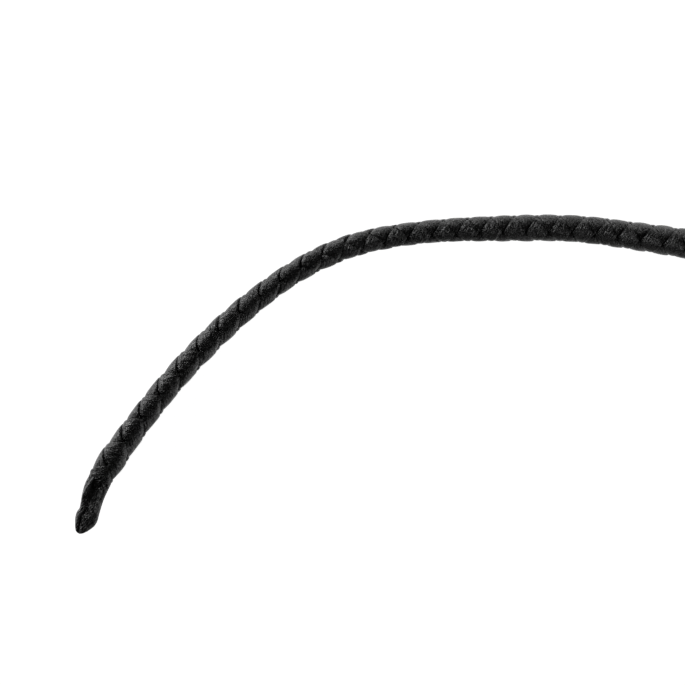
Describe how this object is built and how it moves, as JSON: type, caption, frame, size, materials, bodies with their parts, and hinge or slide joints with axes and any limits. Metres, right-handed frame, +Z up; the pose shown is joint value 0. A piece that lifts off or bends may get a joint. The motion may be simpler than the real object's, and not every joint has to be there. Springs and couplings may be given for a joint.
{
  "type": "riding crop",
  "caption": "Slim riding crop: a springy shaft covered in a round plait of flat leather laces, with a leather tongue, a sewn handle between woven knots, and a wrist strap on a pin.",
  "frame": {"origin": "middle of the underside of the crop's box, on the surface that the crop lies on", "axes": "+Z up from that surface; +X along the handle, from the front knot towards the butt; the shaft sweeps to -X and -Y"},
  "size_m": [0.7338, 0.153, 0.0257],
  "materials": {
    "plait_leather": "black bridle leather laces, semi-gloss, creased and rubbed at their edges",
    "tongue_leather": "black leather, folded lengthways, duller than the plait",
    "handle_leather": "black grained leather, hand sewn",
    "knot_leather": "black leather lace, semi-gloss",
    "strap_leather": "black strap leather with burnished edges",
    "belly_leather": "undyed dark leather, rough side out",
    "core_rod": "glass-fibre rod",
    "waxed_thread": "black waxed linen thread, close wound",
    "handle_wood": "turned hardwood, bare",
    "cap_lacquer": "black lacquered metal",
    "plated_steel": "nickel-plated steel"
  },
  "bodies": {
    "handle": {"handle_core": "handle_wood", "handle_cover": "handle_leather", "front_binding": "waxed_thread", "front_knot": "knot_leather", "butt_knot": "knot_leather", "butt_cap": "cap_lacquer", "strap_pin": "plated_steel", "shaft_core_rear": "core_rod", "belly_rear": "belly_leather", "plait_lace_1_rear": "plait_leather", "plait_lace_2_rear": "plait_leather", "plait_lace_3_rear": "plait_leather", "plait_lace_4_rear": "plait_leather"},
    "shaft_mid": {"shaft_core_mid": "core_rod", "belly_mid": "belly_leather", "plait_lace_1_mid": "plait_leather", "plait_lace_2_mid": "plait_leather", "plait_lace_3_mid": "plait_leather", "plait_lace_4_mid": "plait_leather"},
    "shaft_tip": {"shaft_core_tip": "core_rod", "tongue_root": "tongue_leather", "tip_binding": "waxed_thread", "plait_lace_1_tip": "plait_leather", "plait_lace_2_tip": "plait_leather", "plait_lace_3_tip": "plait_leather", "plait_lace_4_tip": "plait_leather"},
    "tongue_flap": {"tongue": "tongue_leather"},
    "wrist_loop": {"wrist_strap": "strap_leather", "strap_rivet": "plated_steel"},
    "loop_keeper": {"loop_keeper": "strap_leather"}
  },
  "joints": [
    {"name": "rear_flex", "type": "hinge", "parent": "handle", "child": "shaft_mid", "pos_m": [-0.12705, 0.04859, 0.01078], "axis": [0, 0, 1], "range_deg": [-20, 20], "stiffness_Nm_per_rad": 1.2},
    {"name": "tip_flex", "type": "hinge", "parent": "shaft_mid", "child": "shaft_tip", "pos_m": [-0.2759, 0.03681, 0.00584], "axis": [0, 0, 1], "range_deg": [-20, 20], "stiffness_Nm_per_rad": 0.5},
    {"name": "tongue_bend", "type": "hinge", "parent": "shaft_tip", "child": "tongue_flap", "pos_m": [-0.36137, -0.06026, 0.00406], "axis": [-0.9705, 0.2413, 0], "range_deg": [-45, 45], "stiffness_Nm_per_rad": 0.004},
    {"name": "strap_swing", "type": "hinge", "parent": "handle", "child": "wrist_loop", "pos_m": [0.21595, 0.04859, 0.01286], "axis": [0, 0, 1], "range_deg": [-60, 60]},
    {"name": "keeper_slide", "type": "slide", "parent": "wrist_loop", "child": "loop_keeper", "axis": [1, 0, 0], "range_m": [0, 0.024]}
  ]
}
